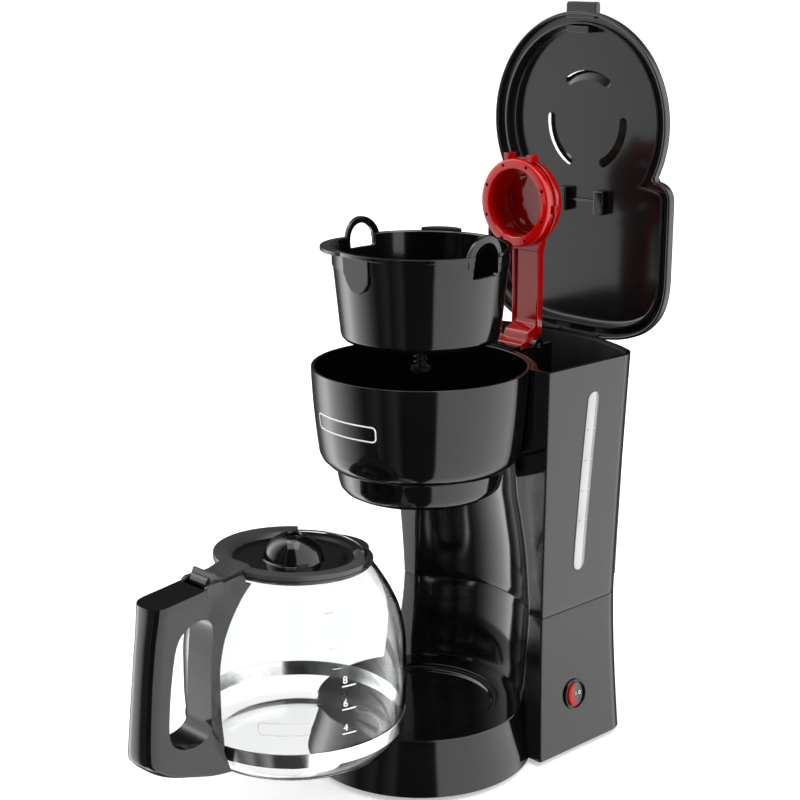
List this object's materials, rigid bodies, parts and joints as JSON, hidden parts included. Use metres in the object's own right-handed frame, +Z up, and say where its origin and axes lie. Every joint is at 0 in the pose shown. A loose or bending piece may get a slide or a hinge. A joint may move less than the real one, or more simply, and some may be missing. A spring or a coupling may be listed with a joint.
{
  "type": "drip coffee maker",
  "caption": "Drip coffee maker with a waisted housing, hinged lid, swinging shower arm, lift-out basket and glass carafe.",
  "frame": {"origin": "on the axis of the brew bowl and warming plate, at the counter surface", "axes": "+Z up, -Y towards the user, +X to the side with the water window and the switch"},
  "size_m": [0.177, 0.4438, 0.547],
  "materials": {
    "gloss_black": "high gloss",
    "satin_black": "satin",
    "red_plastic": "high gloss",
    "clear_glass": "clear",
    "steel_band": "satin",
    "plate_enamel": "gloss enamel",
    "clear_window": "frosted clear",
    "rubber_black": "matt",
    "silicone": "matt",
    "cast_aluminium": "cast",
    "plated_steel": "plated",
    "badge_silver": "satin",
    "wire_sleeve": "satin",
    "seal_red": "matt"
  },
  "bodies": {
    "machine": {"upper_housing": "gloss_black", "brew_bowl": "gloss_black", "reservoir_tank": "satin_black", "water_window": "clear_window", "base_housing": "gloss_black", "bottom_cover": "satin_black", "feet": "rubber_black", "cover_screws": "plated_steel", "warming_plate": "plate_enamel", "plate_gasket": "rubber_black", "heater_element": "cast_aluminium", "heater_bracket": "plated_steel", "thermostat": "plated_steel", "thermal_fuses": "plated_steel", "inlet_hose": "silicone", "check_valve": "satin_black", "riser_tube": "silicone", "wire_harness": "wire_sleeve", "cord_gland": "satin_black", "switch_bezel": "satin_black", "switch_body": "satin_black", "badge_plate": "badge_silver", "arm_cradle": "satin_black", "arm_pin": "plated_steel", "lid_hinge_pins": "plated_steel"},
    "lid": {"lid_shell": "gloss_black", "lid_clips": "satin_black"},
    "arm": {"shower_arm": "red_plastic", "shower_ring": "red_plastic"},
    "basket": {"basket": "gloss_black", "valve_spring": "plated_steel"},
    "valve": {"drip_valve": "plated_steel", "valve_seal": "seal_red"},
    "rocker": {"switch_rocker": "red_plastic"},
    "carafe": {"carafe_glass": "clear_glass", "carafe_band": "steel_band", "carafe_collar": "gloss_black", "carafe_handle": "gloss_black", "handle_screw": "plated_steel", "carafe_lid_pin": "plated_steel"},
    "carafe_lid": {"carafe_lid": "gloss_black"}
  },
  "joints": [
    {"name": "lid_hinge", "type": "hinge", "parent": "machine", "child": "lid", "pos_m": [0, 0.163, 0.2955], "axis": [1, 0, 0], "range_deg": [0, 90]},
    {"name": "arm_hinge", "type": "hinge", "parent": "machine", "child": "arm", "pos_m": [0, 0.1075, 0.299], "axis": [1, 0, 0], "range_deg": [0, 90]},
    {"name": "basket_slide", "type": "slide", "parent": "machine", "child": "basket", "axis": [0, 0, 1], "range_m": [-0.0938, 0]},
    {"name": "drip_valve_slide", "type": "slide", "parent": "basket", "child": "valve", "axis": [0, 0, 1], "range_m": [0, 0.004], "stiffness_N_per_m": 80, "springref_m": -0.005, "deforming": ["valve_spring"]},
    {"name": "switch_rocker_tip", "type": "hinge", "parent": "machine", "child": "rocker", "pos_m": [0.07906, 0.086, 0.0434], "axis": [0.146, -0.0053, -0.9893], "range_deg": [0, 16]},
    {"name": "carafe_slide", "type": "slide", "parent": "machine", "child": "carafe", "axis": [0, -0.9979, 0.0649], "range_m": [-0.12326, 0]},
    {"name": "carafe_lid_hinge", "type": "hinge", "parent": "carafe", "child": "carafe_lid", "pos_m": [0, -0.201, 0.1905], "axis": [1, 0, 0], "range_deg": [0, 75]}
  ],
  "couplings": [
    {"joint": "arm_hinge", "follows": "lid_hinge", "ratio": 1},
    {"joint": "basket_slide", "follows": "lid_hinge", "m_per_rad": -0.059651}
  ]
}
